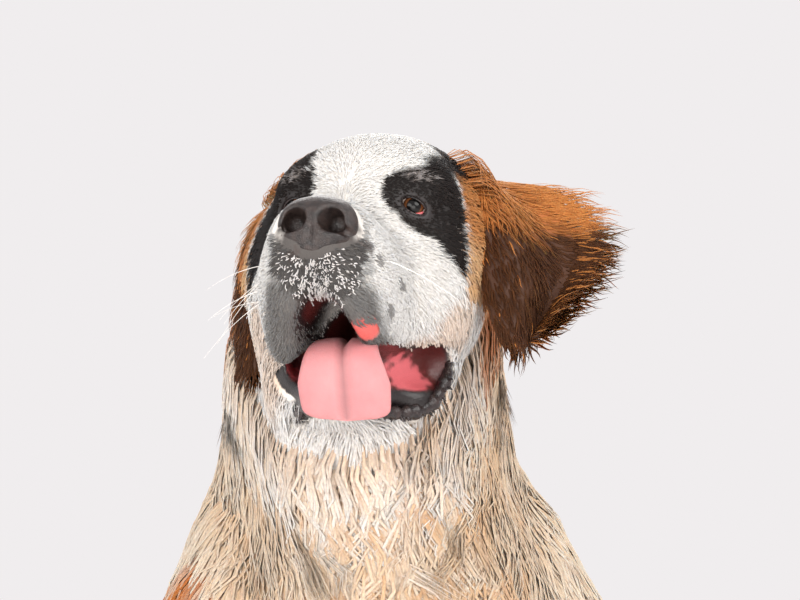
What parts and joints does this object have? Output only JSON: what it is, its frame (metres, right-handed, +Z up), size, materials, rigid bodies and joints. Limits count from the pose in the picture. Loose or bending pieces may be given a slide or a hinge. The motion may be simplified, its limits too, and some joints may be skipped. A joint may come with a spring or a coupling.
{
  "type": "saint bernard",
  "caption": "Life-size still model of a sitting long-haired Saint Bernard, head raised and turned, mouth open, tongue out.",
  "frame": {"origin": "middle of the footprint of the whole dog, on the floor", "axes": "+Z up; the chest faces -Y and the dog's left side is +X"},
  "size_m": [0.588, 1.0484, 0.9649],
  "materials": {
    "coat_white": "long wavy coat, cream white",
    "coat_orange": "long coat, red orange",
    "coat_brown": "short soft ear coat, dark brown",
    "bare_skin": "moist black skin",
    "tongue": "moist pink",
    "eye": "wet, brown iris",
    "collar": "dark leather"
  },
  "bodies": {
    "root": {"collar": "collar", "ear_left": "coat_brown", "ear_right": "coat_brown", "eye_left": "eye", "eye_right": "eye", "foreleg_left": "coat_white", "foreleg_right": "coat_white", "forepaw_left": "coat_white", "forepaw_right": "coat_white", "head": "coat_white", "hindleg_left": "coat_orange", "hindleg_right": "coat_orange", "hindpaw_left": "coat_white", "hindpaw_right": "coat_white", "lower_jaw": "bare_skin", "neck": "coat_white", "nose": "bare_skin", "tail_root": "coat_orange", "tail_tip": "coat_orange", "tongue": "tongue", "torso": "coat_white"}
  },
  "joints": []
}
